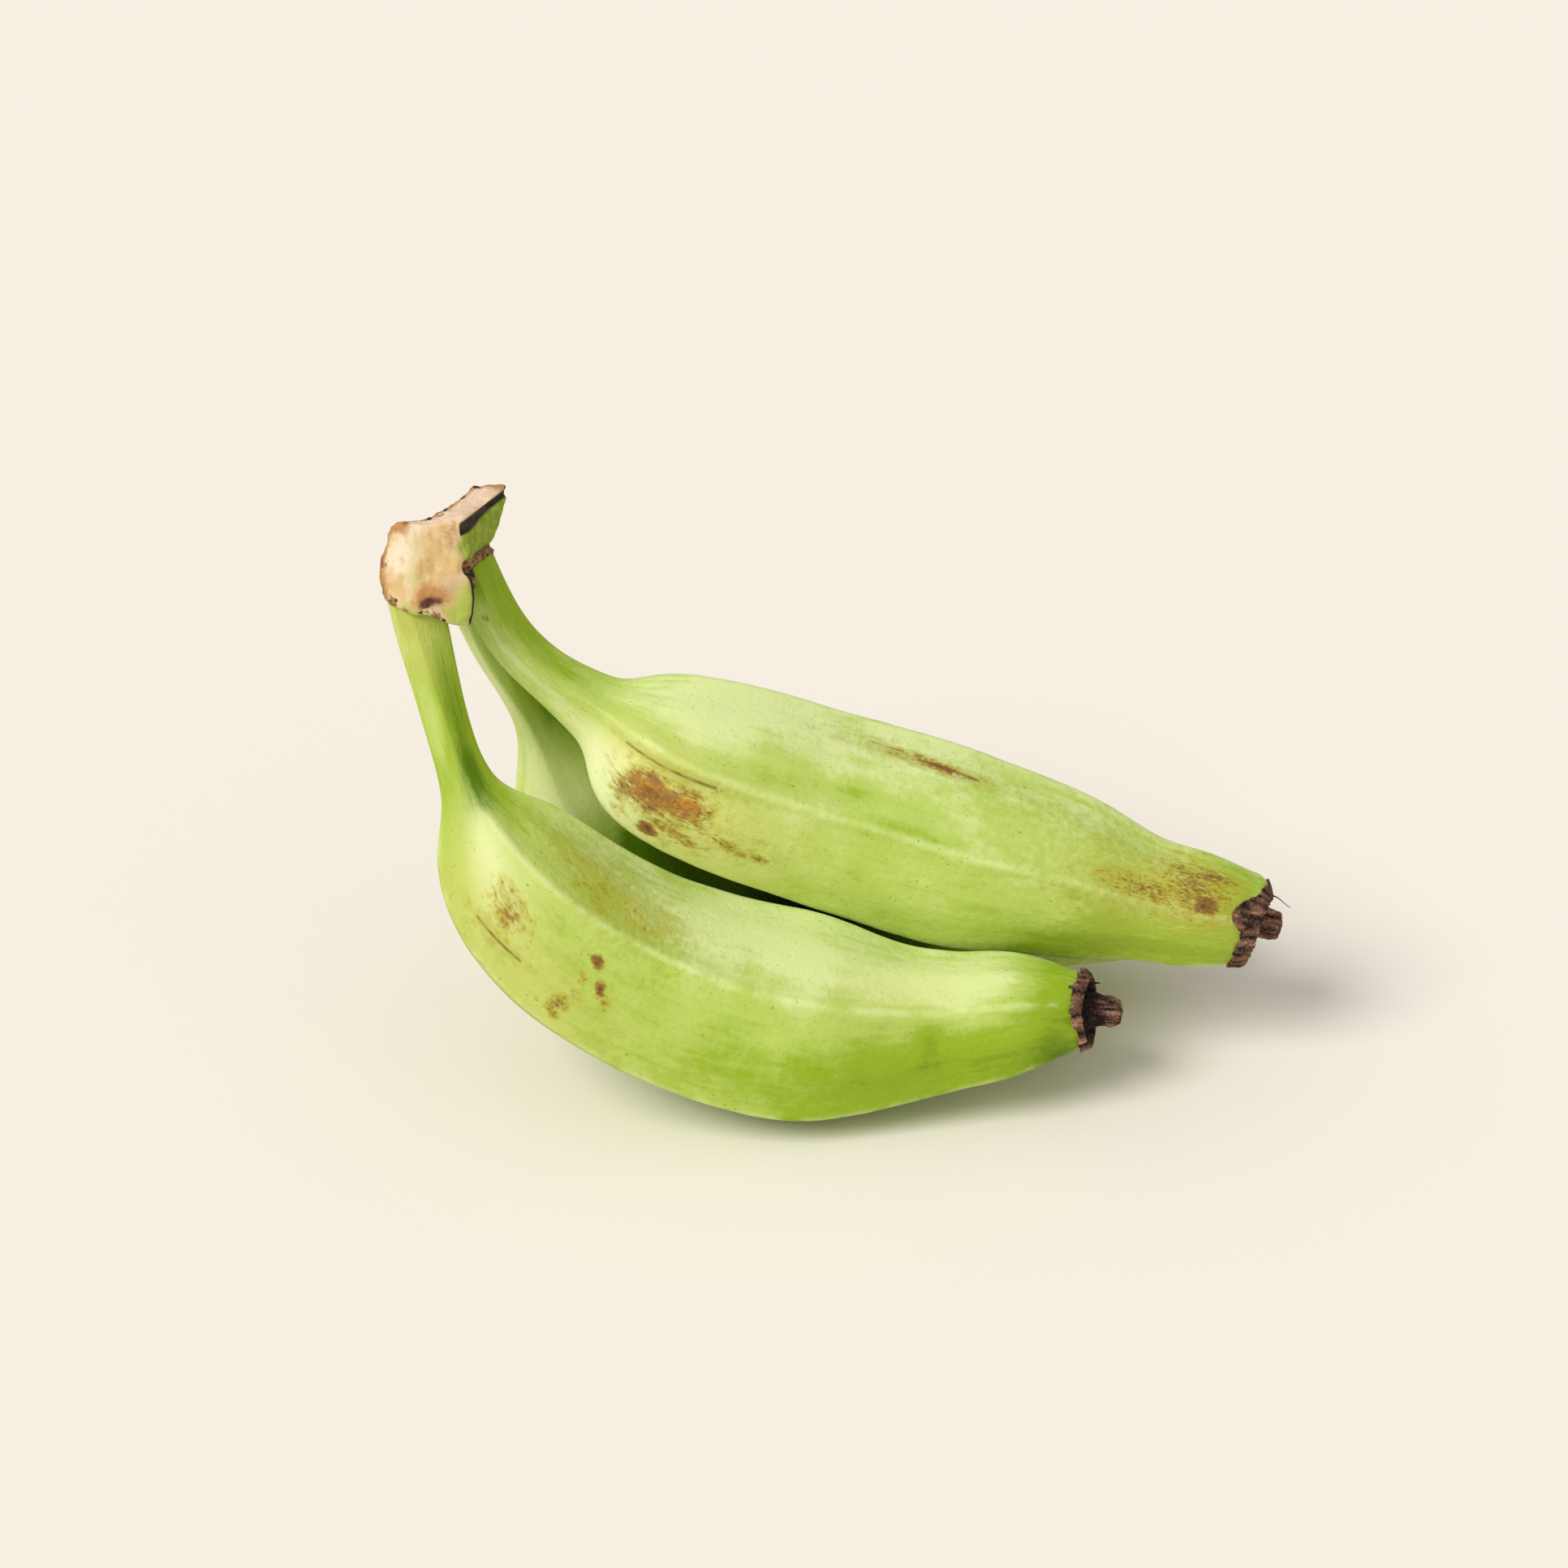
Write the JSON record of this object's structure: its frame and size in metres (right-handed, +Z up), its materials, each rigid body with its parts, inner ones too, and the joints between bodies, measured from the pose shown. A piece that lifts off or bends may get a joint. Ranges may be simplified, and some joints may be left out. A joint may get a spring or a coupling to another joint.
{
  "type": "bunch of bananas",
  "caption": "Small bunch of thick, ridged green cooking bananas joined at a cut crown, lying on their bellies with the crown raised.",
  "frame": {"origin": "middle of the footprint of the bunch's bounding box, on the surface the bunch lies on", "axes": "+X along the fingers, from the crown towards the flower ends; +Y from the front finger to the back finger; +Z up"},
  "size_m": [0.2217, 0.1042, 0.1539],
  "materials": {
    "peel_green": "satin, slightly waxy fresh peel with fine dark specks and brown scars",
    "cut_stalk": "matte, dry, fibrous cut stalk",
    "dried_flower": "matte, crumpled, dried flower remains"
  },
  "bodies": {
    "root": {"finger_front": "peel_green", "finger_top": "peel_green", "finger_back": "peel_green", "crown": "cut_stalk", "flower_end_front": "dried_flower", "flower_end_top": "dried_flower", "flower_end_back": "dried_flower"}
  },
  "joints": []
}
